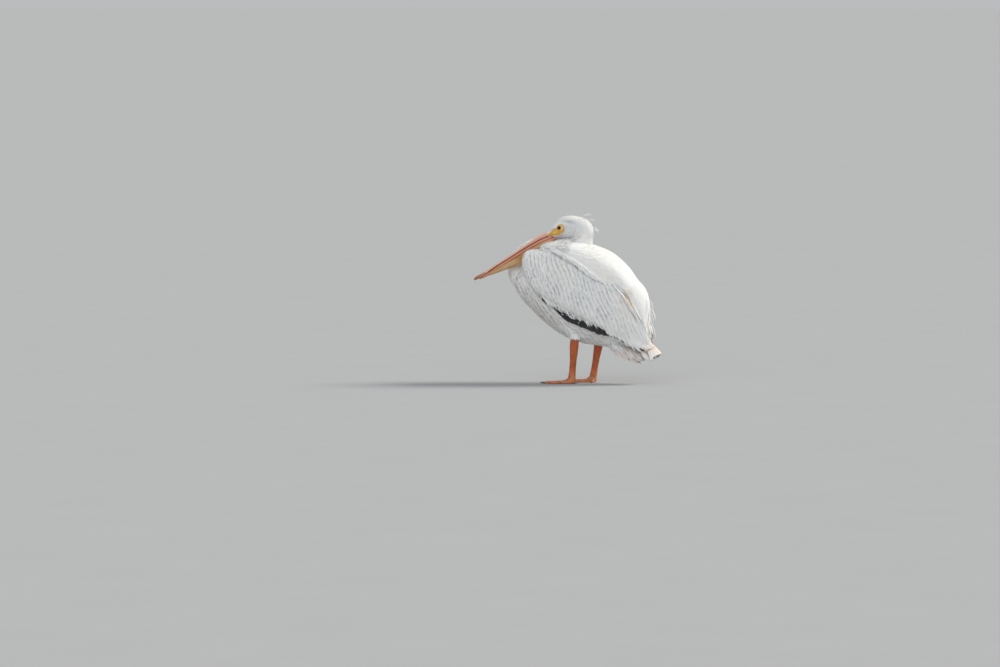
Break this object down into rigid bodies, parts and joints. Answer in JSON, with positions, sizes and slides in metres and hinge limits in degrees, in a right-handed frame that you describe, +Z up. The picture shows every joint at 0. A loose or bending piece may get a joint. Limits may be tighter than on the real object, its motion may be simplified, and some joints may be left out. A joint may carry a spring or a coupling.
{
  "type": "pelican",
  "caption": "Life-size white pelican standing at rest with folded wings, its neck folded back and the long pouched bill laid down along the neck.",
  "frame": {"origin": "on the floor, under the middle of the bird's length and width", "axes": "-Y the way the bird faces, +X its left side, +Z up"},
  "size_m": [0.2884, 0.7296, 0.653],
  "materials": {
    "plumage": "matte",
    "flight_feathers": "satin",
    "bill": "satin",
    "nail": "satin",
    "pouch": "matte",
    "eye": "gloss",
    "leg_skin": "matte",
    "claw": "satin"
  },
  "bodies": {
    "root": {"trunk": "plumage", "neck_lower": "plumage", "neck_middle": "plumage", "neck_upper": "plumage", "head": "plumage", "mantle": "plumage", "tail": "plumage", "under_tail": "plumage", "bill_upper": "bill", "bill_lower": "bill", "bill_nail": "nail", "pouch": "pouch", "eye_left": "eye", "wing_left": "plumage", "flight_left": "flight_feathers", "thigh_left": "plumage", "shank_left": "leg_skin", "foot_left": "leg_skin", "claw_outer_left": "claw", "claw_middle_left": "claw", "claw_inner_left": "claw", "claw_hind_left": "claw", "eye_right": "eye", "wing_right": "plumage", "flight_right": "flight_feathers", "thigh_right": "plumage", "shank_right": "leg_skin", "foot_right": "leg_skin", "claw_outer_right": "claw", "claw_middle_right": "claw", "claw_inner_right": "claw", "claw_hind_right": "claw"}
  },
  "joints": []
}
